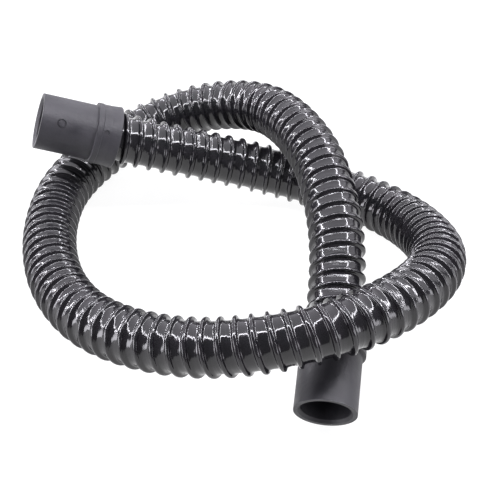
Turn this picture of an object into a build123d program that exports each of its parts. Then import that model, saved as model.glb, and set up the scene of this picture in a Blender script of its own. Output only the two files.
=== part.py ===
"""Swimming-pool vacuum hose: a spiral-ribbed hose laid in an overhand loop, with a swivel cuff on each end.

The hose is a plain tube of its crest diameter here, along straight runs joined by tangent arcs. Each end
carries a hard bush fixed on the hose, a seal ring in front of the hose's end face, and a moulded cuff that
turns on the bush. Millimetres, +Z up, origin on the ground under the middle of the whole object.
"""

from build123d import *
import math
import os

# Hose
HOSE_RADIUS = 23.0            # over the crests of the spiral rib
HOSE_BORE_RADIUS = 19.0
RUN_SHARE = 0.45              # share of the shorter run that each arc takes up

# Stretch of each end that is hidden inside its cuff, measured along the cuff from its rear face
HOSE_INSERT = 17.4
BUSH_START = 2.8
BUSH_RADIUS = 24.25
SEAL_THICKNESS = 2.8
SEAL_BORE_RADIUS = 20.5

# Cuff
CUFF_LENGTH = 70.0
COLLAR_LENGTH = 21.5
COLLAR_RADIUS = 26.6
COLLAR_REAR_RADIUS = 27.5
FLARE_LENGTH = 9.5
BEAD_RADIUS = 27.0
BEAD_LENGTH = 5.0
BEAD_BEVEL = 0.5
COLLAR_BORE_RADIUS = 24.35
LIP_LENGTH = 2.5
LIP_RADIUS = 23.5
STEP_BEVEL = 0.6
NOSE_REAR_RADIUS = 24.45
NOSE_MOUTH_RADIUS = 24.35
SHOULDER_POSITION = 20.5
NOSE_BORE_RADIUS = 19.25
LEAD_IN_RADIUS = 21.0
LEAD_IN_LENGTH = 2.5
REAR_ROUND = 1.2
STEP_ROUND = 0.35
MOUTH_ROUND = 1.1
RIM_ROUND = 0.5

# Plain moulding marks on the outside of each cuff: a round groove on the nose, a round spot on the collar
GROOVE_RADIUS = 4.0
GROOVE_WIDTH = 1.2
GROOVE_FLOOR_RADIUS = 23.4    # from the cuff's axis
GROOVE_POSITION = 52.5        # from the cuff's rear face
SPOT_RADIUS = 2.5
SPOT_FLOOR_RADIUS = 25.8
SPOT_POSITION = 13.0
MARK_CUT_DEPTH = 3.0
UPPER_MARK_TURN = 50.0        # degrees about the cuff's axis, from its top
LOWER_MARK_TURN = 200.0

# Route of the hose's centreline, from its end inside the upper cuff to its end inside the lower cuff
ROUTE = [
    (-124.6, 87.2, 79.5),
    (-81.5, 91, 64.5),
    (-35, 97, 48),
    (12, 99, 34),
    (60, 91, 24),
    (105, 70, 23),
    (141, 39, 26),
    (158, -4, 42),
    (164, -51, 60),
    (150, -96, 76),
    (115, -136, 85),
    (70, -163, 89),
    (21, -170, 82),
    (-28, -164, 70),
    (-75, -146, 60),
    (-116, -116, 50),
    (-144, -73, 42),
    (-159, -24, 35),
    (-164, 27, 28),
    (-159, 77, 24),
    (-137, 122, 23),
    (-101, 157, 28),
    (-56, 173, 41),
    (-12, 164, 57),
    (26, 138, 72),
    (50, 96, 81.5),
    (68.5, 49, 83),
    (77, 1, 79),
    (81, -47, 68),
    (78, -93, 52.5),
    (72.4, -135.6, 39.2),
]


def arc_radii(points):
    """Radius of the arc at each corner of the route: as large as the two runs beside it allow."""
    radii = []
    for before, corner, after in zip(points, points[1:], points[2:]):
        incoming = corner - before
        outgoing = after - corner
        half_turn = math.radians(incoming.get_angle(outgoing)) / 2
        shorter_run = min(incoming.length, outgoing.length)
        radii.append(RUN_SHARE * shorter_run / math.tan(half_turn))
    return radii


def cuff_plane(hose_end, previous_point):
    """Plane on the cuff's rear face: its Z points out of the mouth and its Y as far up as it can."""
    mouth_direction = (hose_end - previous_point).normalized()
    rear_centre = hose_end - mouth_direction * HOSE_INSERT
    sideways = Vector(0, 0, 1).cross(mouth_direction).normalized()
    return Plane(origin=rear_centre, x_dir=sideways, z_dir=mouth_direction)


def profile_plane(rear_plane):
    """Plane through the cuff's axis: local X is the radius and local Y runs along the axis to the mouth."""
    return Plane(origin=rear_plane.origin, x_dir=rear_plane.x_dir, z_dir=-rear_plane.y_dir)


def mark_plane(rear_plane, position, floor_radius, turn):
    """Plane on the floor of a mark: its Z points away from the cuff's axis."""
    angle = math.radians(turn)
    outward = rear_plane.y_dir * math.cos(angle) + rear_plane.x_dir * math.sin(angle)
    centre = rear_plane.origin + rear_plane.z_dir * position + outward * floor_radius
    return Plane(origin=centre, x_dir=rear_plane.z_dir, z_dir=outward)


def build_hose(points):
    radii = arc_radii(points)
    with BuildPart() as hose:
        with BuildLine() as path:
            FilletPolyline(*points, radius=radii)
        centreline = path.wire()
        with BuildSketch(Plane(origin=centreline @ 0, z_dir=centreline % 0)):
            Circle(HOSE_RADIUS)
            Circle(HOSE_BORE_RADIUS, mode=Mode.SUBTRACT)
        sweep(path=centreline)
    section = math.pi * (HOSE_RADIUS**2 - HOSE_BORE_RADIUS**2)
    print("hose length", round(centreline.length, 1))
    print("arc radii", [round(radius) for radius in radii])
    print("volume over section x length", round(hose.part.volume / (section * centreline.length), 4))
    return hose.part


def build_cuff(rear_plane, mark_turn):
    """Cuff in one moulding: rear lip, flared collar with a bead at its front, inner shoulder, and nose."""
    with BuildPart() as cuff:
        with BuildSketch(profile_plane(rear_plane)) as profile:
            with BuildLine():
                Polyline(
                    (LIP_RADIUS, 0),
                    (COLLAR_REAR_RADIUS, 0),
                    (COLLAR_RADIUS, FLARE_LENGTH),
                    (COLLAR_RADIUS, COLLAR_LENGTH - BEAD_LENGTH),
                    (BEAD_RADIUS, COLLAR_LENGTH - BEAD_LENGTH + BEAD_BEVEL),
                    (BEAD_RADIUS, COLLAR_LENGTH),
                    (NOSE_REAR_RADIUS, COLLAR_LENGTH + STEP_BEVEL),
                    (NOSE_MOUTH_RADIUS, CUFF_LENGTH),
                    (LEAD_IN_RADIUS, CUFF_LENGTH),
                    (NOSE_BORE_RADIUS, CUFF_LENGTH - LEAD_IN_LENGTH),
                    (NOSE_BORE_RADIUS, SHOULDER_POSITION),
                    (COLLAR_BORE_RADIUS, SHOULDER_POSITION),
                    (COLLAR_BORE_RADIUS, LIP_LENGTH),
                    (LIP_RADIUS, LIP_LENGTH),
                    close=True,
                )
            make_face()
            corners = profile.vertices()
            fillet(corners.sort_by_distance((COLLAR_REAR_RADIUS, 0))[0], REAR_ROUND)
            fillet(corners.sort_by_distance((BEAD_RADIUS, COLLAR_LENGTH))[0], STEP_ROUND)
            fillet(corners.sort_by_distance((NOSE_MOUTH_RADIUS, CUFF_LENGTH))[0], MOUTH_ROUND)
            fillet(corners.sort_by_distance((LEAD_IN_RADIUS, CUFF_LENGTH))[0], RIM_ROUND)
        revolve(axis=Axis(rear_plane.origin, rear_plane.z_dir))
        with BuildSketch(mark_plane(rear_plane, GROOVE_POSITION, GROOVE_FLOOR_RADIUS, mark_turn)):
            Circle(GROOVE_RADIUS)
            Circle(GROOVE_RADIUS - GROOVE_WIDTH, mode=Mode.SUBTRACT)
        extrude(amount=MARK_CUT_DEPTH, mode=Mode.SUBTRACT)
        with BuildSketch(mark_plane(rear_plane, SPOT_POSITION, SPOT_FLOOR_RADIUS, mark_turn)):
            Circle(SPOT_RADIUS)
        extrude(amount=MARK_CUT_DEPTH, mode=Mode.SUBTRACT)
    return cuff.part


def build_bush(rear_plane):
    """Hard bush fixed round the hose's end; the cuff turns on its outside."""
    with BuildPart() as bush:
        with BuildSketch(rear_plane.offset(BUSH_START)):
            Circle(BUSH_RADIUS)
            Circle(HOSE_RADIUS, mode=Mode.SUBTRACT)
        extrude(amount=HOSE_INSERT - BUSH_START)
    return bush.part


def build_seal(rear_plane):
    """Flat ring on the hose's end face, just clear of the cuff's inner shoulder."""
    with BuildPart() as seal:
        with BuildSketch(rear_plane.offset(HOSE_INSERT)):
            Circle(HOSE_RADIUS)
            Circle(SEAL_BORE_RADIUS, mode=Mode.SUBTRACT)
        extrude(amount=SEAL_THICKNESS)
    return seal.part


route = [Vector(*point) for point in ROUTE]
upper_plane = cuff_plane(route[0], route[1])
lower_plane = cuff_plane(route[-1], route[-2])
pieces = {
    "hose": build_hose(route),
    "cuff_upper": build_cuff(upper_plane, UPPER_MARK_TURN),
    "bush_upper": build_bush(upper_plane),
    "seal_upper": build_seal(upper_plane),
    "cuff_lower": build_cuff(lower_plane, LOWER_MARK_TURN),
    "bush_lower": build_bush(lower_plane),
    "seal_lower": build_seal(lower_plane),
}

os.makedirs("parts", exist_ok=True)
for name, piece in pieces.items():
    piece.label = name
    export_step(piece, f"parts/{name}.step")
for name, plane in (("upper", upper_plane), ("lower", lower_plane)):
    print(name, "cuff rear", plane.origin, "mouth direction", plane.z_dir)
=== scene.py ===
"""Looks of the vacuum hose: a glossy spiral-ribbed hose in a loop, with a satin cuff on each end."""

import math

import bpy
import numpy as np
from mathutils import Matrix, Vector


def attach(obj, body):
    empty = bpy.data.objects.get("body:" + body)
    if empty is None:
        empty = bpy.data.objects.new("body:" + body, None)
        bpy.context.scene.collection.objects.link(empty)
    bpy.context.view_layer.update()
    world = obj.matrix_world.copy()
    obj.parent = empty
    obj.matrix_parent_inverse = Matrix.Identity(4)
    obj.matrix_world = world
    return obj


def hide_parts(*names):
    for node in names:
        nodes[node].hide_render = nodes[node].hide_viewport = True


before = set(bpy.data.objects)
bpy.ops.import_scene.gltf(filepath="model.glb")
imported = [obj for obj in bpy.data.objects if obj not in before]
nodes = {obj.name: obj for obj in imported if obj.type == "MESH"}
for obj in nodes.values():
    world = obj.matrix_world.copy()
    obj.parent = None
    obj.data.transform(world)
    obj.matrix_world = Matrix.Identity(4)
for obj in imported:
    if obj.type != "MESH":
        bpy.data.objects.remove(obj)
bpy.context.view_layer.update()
scene = bpy.context.scene
scene.view_settings.view_transform = "Standard"

MM = 0.001
FULL_TURN = 2 * math.pi

# ---------------------------------------------------------------- camera

CAMERA_LENS = 90.0                      # mm
SENSOR_WIDTH = 36.0                     # mm
CAMERA_CLIP = (0.01, 50.0)              # metres
CAMERA_PLACE = Vector((0.005, -0.779, 0.728))
CAMERA_ELEVATION = math.radians(42.0)   # how far it looks below the horizon, along +Y


def make_camera():
    data = bpy.data.cameras.new("camera")
    data.lens = CAMERA_LENS
    data.sensor_width = SENSOR_WIDTH
    data.clip_start, data.clip_end = CAMERA_CLIP
    camera = bpy.data.objects.new("camera", data)
    scene.collection.objects.link(camera)
    camera.location = CAMERA_PLACE
    camera.rotation_euler = (math.pi / 2 - CAMERA_ELEVATION, 0.0, 0.0)
    scene.camera = camera


make_camera()

# ---------------------------------------------------------------- hose: facts and route

HOSE_DIAMETER = 0.046

# Route of the hose's centreline in mm, from its end in the upper cuff to its end in the lower cuff
ROUTE = [
    (-124.6, 87.2, 79.5),
    (-81.5, 91, 64.5),
    (-35, 97, 48),
    (12, 99, 34),
    (60, 91, 24),
    (105, 70, 23),
    (141, 39, 26),
    (158, -4, 42),
    (164, -51, 60),
    (150, -96, 76),
    (115, -136, 85),
    (70, -163, 89),
    (21, -170, 82),
    (-28, -164, 70),
    (-75, -146, 60),
    (-116, -116, 50),
    (-144, -73, 42),
    (-159, -24, 35),
    (-164, 27, 28),
    (-159, 77, 24),
    (-137, 122, 23),
    (-101, 157, 28),
    (-56, 173, 41),
    (-12, 164, 57),
    (26, 138, 72),
    (50, 96, 81.5),
    (68.5, 49, 83),
    (77, 1, 79),
    (81, -47, 68),
    (78, -93, 52.5),
    (72.4, -135.6, 39.2),
]
STEPS_PER_RUN = 48


def read_centreline():
    """Points along the NURBS spline whose control points are the route, in metres."""
    curve = bpy.data.curves.new("hose_route", "CURVE")
    curve.dimensions = "3D"
    spline = curve.splines.new("NURBS")
    spline.points.add(len(ROUTE) - 1)
    for point, place in zip(spline.points, ROUTE):
        point.co = (*(Vector(place) * MM), 1.0)
    spline.order_u = 3
    spline.use_endpoint_u = True
    spline.resolution_u = STEPS_PER_RUN
    line = bpy.data.objects.new("hose_route", curve)
    scene.collection.objects.link(line)
    mesh = bpy.data.meshes.new_from_object(line)
    points = np.array([vertex.co[:] for vertex in mesh.vertices])
    bpy.data.objects.remove(line)
    bpy.data.meshes.remove(mesh)
    bpy.data.curves.remove(curve)
    return points


# ---------------------------------------------------------------- hose: shape

RIB_PITCH = 0.0123
BORE_RADIUS = 0.0189
CREST_RADIUS = HOSE_DIAMETER / 2
SIDES = 40                              # points round the hose
BORE_STEP = 0.008                       # distance between the bore's rings
WALL_PLACE = "wall_place"               # per point, in metres: (along the hose, and two round it)

# Half of the wall's outer profile between two ribs, in mm:
# distance from the rib's middle, and depth below its crest
RIB_PROFILE = [
    (0.0, 0.0),
    (0.6, 0.04),
    (1.1, 0.28),
    (1.45, 0.8),
    (1.7, 1.5),
    (2.0, 2.2),
    (2.5, 2.75),
    (3.2, 3.05),
    (4.3, 3.22),
]
WEB_DEPTH = 3.3                         # mm, midway between two ribs


def rib_rows():
    """(offset along the hose, depth) of each row of points in one pitch, in metres."""
    half = [(x * MM, depth * MM) for x, depth in RIB_PROFILE]
    middle = [(RIB_PITCH / 2, WEB_DEPTH * MM)]
    other_half = [(RIB_PITCH - x, depth) for x, depth in reversed(half[1:])]
    return half + middle + other_half


class Centreline:
    """Arc length, place and two side directions at any distance along the hose."""

    def __init__(self, points):
        steps = np.linalg.norm(np.diff(points, axis=0), axis=1)
        self.points = points
        self.distance = np.concatenate([[0.0], np.cumsum(steps)])
        self.length = self.distance[-1]
        tangent = np.gradient(points, self.distance, axis=0)
        self.tangent = tangent / np.linalg.norm(tangent, axis=1)[:, None]
        self.side = self._carried_sides()

    def _carried_sides(self):
        """A side direction carried along the line without twisting."""
        up = np.array([0.0, 0.0, 1.0])
        side = np.cross(self.tangent[0], up)
        sides = []
        for tangent in self.tangent:
            side = side - tangent * np.dot(side, tangent)
            side = side / np.linalg.norm(side)
            sides.append(side)
        return np.array(sides)

    def _read(self, values, at):
        columns = [np.interp(at, self.distance, values[:, axis]) for axis in range(3)]
        return np.stack(columns, axis=-1)

    def surface(self, at, angle, radius):
        """Points of the surface at a distance along the line, an angle round it and a radius."""
        tangent = self._read(self.tangent, at)
        tangent /= np.linalg.norm(tangent, axis=-1, keepdims=True)
        side = self._read(self.side, at)
        side -= tangent * np.sum(side * tangent, axis=-1, keepdims=True)
        side /= np.linalg.norm(side, axis=-1, keepdims=True)
        other = np.cross(tangent, side)
        outward = side * np.cos(angle)[..., None] + other * np.sin(angle)[..., None]
        return self._read(self.points, at) + outward * np.asarray(radius)[..., None]


def wall_radius(at, angle):
    """Radius of the outer wall, from how far a place is past the rib's middle."""
    rows = rib_rows()
    offsets = [offset for offset, _ in rows] + [RIB_PITCH]
    depths = [depth for _, depth in rows] + [0.0]
    past = np.mod(at - RIB_PITCH * (angle / FULL_TURN), RIB_PITCH)
    return CREST_RADIUS - np.interp(past, offsets, depths)


def rib_grid(length, angles):
    """Distance along the hose of the outer wall's places, in rows that run along the rib."""
    offsets = [offset for offset, _ in rib_rows()]
    turns = int(math.ceil(length / RIB_PITCH)) + 2
    starts = [RIB_PITCH * turn + offset for turn in range(-1, turns) for offset in offsets]
    return np.array(starts)[:, None] + RIB_PITCH * angles[None, :] / FULL_TURN


def outer_faces(index):
    """Faces between the rows of the outer wall. The last side joins the first, a turn further on."""
    pitch_rows = len(rib_rows())
    row_count = len(index)
    faces = []
    for row in range(row_count - 1):
        for side in range(SIDES):
            if side + 1 < SIDES:
                next_row, next_side = row, side + 1
            elif row + pitch_rows + 1 < row_count:
                next_row, next_side = row + pitch_rows, 0
            else:
                continue
            corners = (
                index[row, side],
                index[next_row, next_side],
                index[next_row + 1, next_side],
                index[row + 1, side],
            )
            distinct = [int(c) for place, c in enumerate(corners) if c not in corners[:place]]
            if len(distinct) >= 3:
                faces.append(distinct)
    return faces


def inner_faces(first_end, last_end, bore_first, ring_count):
    """Faces of the flat ring at each end and of the bore, from the indices of their first points."""
    last_ring = bore_first + (ring_count - 1) * SIDES
    faces = []
    for side in range(SIDES):
        after = (side + 1) % SIDES
        faces.append((first_end + side, bore_first + side, bore_first + after, first_end + after))
        faces.append((last_end + side, last_end + after, last_ring + after, last_ring + side))
        for ring in range(ring_count - 1):
            low = bore_first + ring * SIDES
            high = low + SIDES
            faces.append((low + side, high + side, high + after, low + after))
    return faces


def build_hose(line):
    """One closed mesh: ribbed outer wall, bore, and a flat ring at each end."""
    angles = np.arange(SIDES) * FULL_TURN / SIDES
    grid = rib_grid(line.length, angles)
    before = grid <= 0.0
    beyond = grid >= line.length
    inside = ~(before | beyond)
    rings = np.linspace(0.0, line.length, int(line.length / BORE_STEP))

    # The points: outer wall, the outer edge of each end, bore
    outer_at = grid[inside]
    outer_angle = np.broadcast_to(angles, grid.shape)[inside]
    edge_at = np.repeat([0.0, line.length], SIDES)
    edge_angle = np.tile(angles, 2)
    bore_at = np.repeat(rings, SIDES)
    bore_angle = np.tile(angles, len(rings))
    points = np.concatenate([
        line.surface(outer_at, outer_angle, wall_radius(outer_at, outer_angle)),
        line.surface(edge_at, edge_angle, wall_radius(edge_at, edge_angle)),
        line.surface(bore_at, bore_angle, np.full(len(bore_at), BORE_RADIUS)),
    ])

    # A place of the grid that lies past an end is pulled in to that end's edge
    first_end = len(outer_at)
    last_end = first_end + SIDES
    bore_first = last_end + SIDES
    index = np.tile(np.arange(SIDES), (len(grid), 1))
    index[before] += first_end
    index[beyond] += last_end
    index[inside] = np.arange(first_end)
    faces = outer_faces(index) + inner_faces(first_end, last_end, bore_first, len(rings))

    mesh = bpy.data.meshes.new("hose_ribbed")
    mesh.from_pydata(points.tolist(), [], faces)
    mesh.validate()
    for polygon in mesh.polygons:
        polygon.use_smooth = True
    all_at = np.concatenate([outer_at, edge_at, bore_at])
    all_angles = np.concatenate([outer_angle, edge_angle, bore_angle])
    places = [all_at, CREST_RADIUS * np.cos(all_angles), CREST_RADIUS * np.sin(all_angles)]
    wall_place = mesh.attributes.new(WALL_PLACE, "FLOAT_VECTOR", "POINT")
    wall_place.data.foreach_set("vector", np.stack(places, axis=-1).ravel())
    hose = bpy.data.objects.new("hose_ribbed", mesh)
    scene.collection.objects.link(hose)
    return hose


centreline_points = read_centreline()
hose = build_hose(Centreline(centreline_points))
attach(hose, "hose")
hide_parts("hose")

# ---------------------------------------------------------------- materials

# Noise scales are per metre. Where there are three, they are along the hose and, twice, round it.
NOISE_SPAN = (0.3, 0.7)                 # where most of a noise's values lie

HOSE_IOR = 1.52
HOSE_BLACKS = ((0.0075, 0.0072, 0.0085), (0.012, 0.0115, 0.0135))
HOSE_BLACK_SCALE = 60.0
HOSE_BLACK_SPAN = (0.35, 0.7)
HOSE_ROUGHNESS = (0.07, 0.17)
DENT_SCALES = (60.0, 90.0, 90.0)
DENT_BUMP = (0.0008, 0.5)               # distance in metres, strength
WRINKLE_SCALES = (520.0, 18.0, 18.0)
WRINKLE_BUMP = (0.0003, 0.9)
FINE_LINE_SCALES = (1500.0, 40.0, 40.0)
FINE_LINE_BUMP = (0.00006, 0.8)

CUFF_IOR = 1.45
CUFF_GREYS = ((0.017, 0.0165, 0.020), (0.032, 0.031, 0.036))
CUFF_GREY_SCALE = 45.0
CUFF_ROUGHNESS = (0.44, 0.58)
CUFF_ROUGHNESS_SCALE = 90.0
CUFF_WAVE_SCALE = 300.0
CUFF_WAVE_BUMP = (0.0006, 0.35)
CUFF_GRAIN_SCALE = 1400.0
CUFF_GRAIN_BUMP = (0.00015, 0.5)
CUFF_DETAIL = 3.0

HIDDEN_TONE_SCALE = 90.0
HIDDEN_TONE_SHARES = (0.8, 1.2)
HIDDEN_ROUGHNESS_SCALE = 300.0
HIDDEN_ROUGHNESS_SPREAD = 0.06
HIDDEN_GRAIN_SCALE = 1200.0
HIDDEN_GRAIN_BUMP = (0.0001, 0.4)


class Material:
    """A node material with a Principled shader, and short calls for the nodes that feed it."""

    def __init__(self, name):
        self.material = bpy.data.materials.new(name)
        self.material.use_nodes = True
        self.tree = self.material.node_tree
        self.shader = self.tree.nodes["Principled BSDF"]
        self.place = self.tree.nodes.new("ShaderNodeTexCoord").outputs["Object"]

    def set(self, **values):
        for name, value in values.items():
            self.shader.inputs[name.replace("_", " ")].default_value = value

    def feed(self, input_name, source):
        self.link(source, self.shader.inputs[input_name])

    def link(self, source, socket):
        self.tree.links.new(source, socket)

    def attribute(self, name):
        node = self.tree.nodes.new("ShaderNodeAttribute")
        node.attribute_name = name
        return node.outputs["Vector"]

    def noise(self, scale, detail=2.0):
        """Noise in the piece's own coordinates."""
        return self._noise(self.place, scale, detail)

    def stretched_noise(self, scales, place):
        """Noise with a scale for each of the three coordinates of the place."""
        mapping = self.tree.nodes.new("ShaderNodeMapping")
        mapping.inputs["Scale"].default_value = scales
        self.link(place, mapping.inputs["Vector"])
        return self._noise(mapping.outputs["Vector"], 1.0, 1.0)

    def _noise(self, place, scale, detail):
        node = self.tree.nodes.new("ShaderNodeTexNoise")
        node.inputs["Scale"].default_value = scale
        node.inputs["Detail"].default_value = detail
        self.link(place, node.inputs["Vector"])
        return node.outputs["Fac"]

    def to_number(self, source, numbers, span=NOISE_SPAN):
        """Maps the source's span to the range between two numbers."""
        node = self.tree.nodes.new("ShaderNodeMapRange")
        input_names = ("From Min", "From Max", "To Min", "To Max")
        for input_name, value in zip(input_names, (*span, *numbers)):
            node.inputs[input_name].default_value = value
        self.link(source, node.inputs["Value"])
        return node.outputs["Result"]

    def to_colour(self, source, colours, span=NOISE_SPAN):
        """Maps the source's span to the range between two colours."""
        node = self.tree.nodes.new("ShaderNodeValToRGB")
        for element, position, colour in zip(node.color_ramp.elements, span, colours):
            element.position = position
            element.color = (*colour, 1.0)
        self.link(source, node.inputs["Fac"])
        return node.outputs["Color"]

    def bump(self, layers):
        """Stacks bump layers, each (height source, (distance in metres, strength))."""
        normal = None
        for height, (distance, strength) in layers:
            node = self.tree.nodes.new("ShaderNodeBump")
            node.inputs["Distance"].default_value = distance
            node.inputs["Strength"].default_value = strength
            self.link(height, node.inputs["Height"])
            if normal:
                self.link(normal, node.inputs["Normal"])
            normal = node.outputs["Normal"]
        self.feed("Normal", normal)


def hose_material():
    """Glossy black film over the rib: dents, wrinkles that run round the hose, and fine lines."""
    look = Material("hose_gloss")
    wall = look.attribute(WALL_PLACE)
    dents = look.stretched_noise(DENT_SCALES, wall)
    wrinkles = look.stretched_noise(WRINKLE_SCALES, wall)
    fine_lines = look.stretched_noise(FINE_LINE_SCALES, wall)
    black = look.to_colour(look.noise(HOSE_BLACK_SCALE), HOSE_BLACKS, HOSE_BLACK_SPAN)
    look.set(IOR=HOSE_IOR)
    look.feed("Base Color", black)
    look.feed("Roughness", look.to_number(fine_lines, HOSE_ROUGHNESS))
    look.bump([(dents, DENT_BUMP), (wrinkles, WRINKLE_BUMP), (fine_lines, FINE_LINE_BUMP)])
    return look.material


def cuff_material():
    """Satin moulded plastic with a fine grain and faint cloudy patches."""
    look = Material("cuff_satin")
    clouds = look.noise(CUFF_GREY_SCALE, CUFF_DETAIL)
    patches = look.noise(CUFF_ROUGHNESS_SCALE, CUFF_DETAIL)
    waves = look.noise(CUFF_WAVE_SCALE, CUFF_DETAIL)
    grain = look.noise(CUFF_GRAIN_SCALE, CUFF_DETAIL)
    look.set(IOR=CUFF_IOR)
    look.feed("Base Color", look.to_colour(clouds, CUFF_GREYS))
    look.feed("Roughness", look.to_number(patches, CUFF_ROUGHNESS))
    look.bump([(waves, CUFF_WAVE_BUMP), (grain, CUFF_GRAIN_BUMP)])
    return look.material


def hidden_material(name, tone, roughness):
    """Matt plastic or rubber for the pieces inside the cuffs."""
    look = Material(name)
    tones = tuple((tone * share,) * 3 for share in HIDDEN_TONE_SHARES)
    range_ends = (roughness - HIDDEN_ROUGHNESS_SPREAD, roughness + HIDDEN_ROUGHNESS_SPREAD)
    look.feed("Base Color", look.to_colour(look.noise(HIDDEN_TONE_SCALE), tones))
    look.feed("Roughness", look.to_number(look.noise(HIDDEN_ROUGHNESS_SCALE), range_ends))
    look.bump([(look.noise(HIDDEN_GRAIN_SCALE), HIDDEN_GRAIN_BUMP)])
    return look.material


def dress(piece, material):
    piece.data.materials.clear()
    piece.data.materials.append(material)


dress(hose, hose_material())
cuff_look = cuff_material()
bush_look = hidden_material("bush_plastic", tone=0.03, roughness=0.5)
seal_look = hidden_material("seal_rubber", tone=0.02, roughness=0.65)
for end in ("upper", "lower"):
    dress(nodes[f"cuff_{end}"], cuff_look)
    dress(nodes[f"bush_{end}"], bush_look)
    dress(nodes[f"seal_{end}"], seal_look)

# ---------------------------------------------------------------- studio

LIGHT_COLOUR = (0.95, 0.935, 1.0)       # slightly violet, like the greys of hose and cuffs
BACKGROUND_STRENGTH = 0.2

FLOOR_SIZE = 12.0
FLOOR_TONES = ((0.13, 0.13, 0.13), (0.15, 0.15, 0.15))
FLOOR_NOISE_SCALE = 3.0
FLOOR_ROUGHNESS = 0.8
FLOOR_GLOW = 0.93                       # the floor is a lit table, so shadows on it are faint

ROOF_HEIGHT = 1.0                       # metres above the floor
ROOF_X = (-4.0, 4.0)
ROOF_Y = (-0.07, 5.0)
ROOF_RADIANCE = 1.6

STRIP_DROP = 0.04                       # how far the strips hang below the roof
STRIP_WIDTH = 0.06
STRIP_X = (-2.0, 0.88)                  # left and right strip
STRIP_RADIANCE = 45.0                   # front and right strip
LEFT_STRIP_RADIANCE = 85.0

PANEL_X = 1.6                           # upright panels left and right of the hose
PANEL_Y = (-1.3, -0.1)
PANEL_LOW = 0.1
PANEL_HEIGHT = 0.55
LEFT_PANEL_RADIANCE = 10.0
RIGHT_PANEL_RADIANCE = 6.0


def build_floor():
    half = FLOOR_SIZE / 2
    corners = [(-half, -half, 0), (half, -half, 0), (half, half, 0), (-half, half, 0)]
    mesh = bpy.data.meshes.new("floor")
    mesh.from_pydata(corners, [], [(0, 1, 2, 3)])
    floor = bpy.data.objects.new("floor", mesh)
    scene.collection.objects.link(floor)
    look = Material("floor_pale")
    look.feed("Base Color", look.to_colour(look.noise(FLOOR_NOISE_SCALE), FLOOR_TONES))
    look.set(Roughness=FLOOR_ROUGHNESS)
    look.set(Emission_Color=(1.0, 1.0, 1.0, 1.0), Emission_Strength=FLOOR_GLOW)
    dress(floor, look.material)


def add_light(name, place, tilt, size, radiance):
    """A rectangular soft light, size (x, y), that shines down, tilted about Y: 90 degrees is -X."""
    data = bpy.data.lights.new(name, "AREA")
    data.shape = "RECTANGLE"
    data.color = LIGHT_COLOUR
    data.size, data.size_y = size
    data.energy = radiance * math.pi * size[0] * size[1]
    light = bpy.data.objects.new(name, data)
    scene.collection.objects.link(light)
    light.location = place
    light.rotation_euler = (0.0, tilt, 0.0)


def set_background():
    world = bpy.data.worlds.new("studio")
    scene.world = world
    world.use_nodes = True
    background = world.node_tree.nodes["Background"]
    background.inputs["Color"].default_value = (*LIGHT_COLOUR, 1.0)
    background.inputs["Strength"].default_value = BACKGROUND_STRENGTH


def light_studio():
    """A wide roof over the hose and behind it, brighter strips along three edges, two panels."""
    middle_x = sum(ROOF_X) / 2
    middle_y = sum(ROOF_Y) / 2
    width = ROOF_X[1] - ROOF_X[0]
    depth = ROOF_Y[1] - ROOF_Y[0]
    add_light("roof", (middle_x, middle_y, ROOF_HEIGHT), 0.0, (width, depth), ROOF_RADIANCE)

    strip_height = ROOF_HEIGHT - STRIP_DROP
    front_place = (middle_x, ROOF_Y[0], strip_height)
    add_light("front_strip", front_place, 0.0, (width, STRIP_WIDTH), STRIP_RADIANCE)
    side_strips = (
        ("left_strip", STRIP_X[0], LEFT_STRIP_RADIANCE),
        ("right_strip", STRIP_X[1], STRIP_RADIANCE),
    )
    for name, x, radiance in side_strips:
        tilt = math.atan2(x, strip_height)
        add_light(name, (x, middle_y, strip_height), tilt, (STRIP_WIDTH, depth), radiance)

    panel_middle = (sum(PANEL_Y) / 2, PANEL_LOW + PANEL_HEIGHT / 2)
    panel_size = (PANEL_HEIGHT, PANEL_Y[1] - PANEL_Y[0])
    panels = (
        ("left_panel", -1.0, LEFT_PANEL_RADIANCE),
        ("right_panel", 1.0, RIGHT_PANEL_RADIANCE),
    )
    for name, side, radiance in panels:
        place = (side * PANEL_X, *panel_middle)
        add_light(name, place, side * math.pi / 2, panel_size, radiance)


build_floor()
set_background()
light_studio()
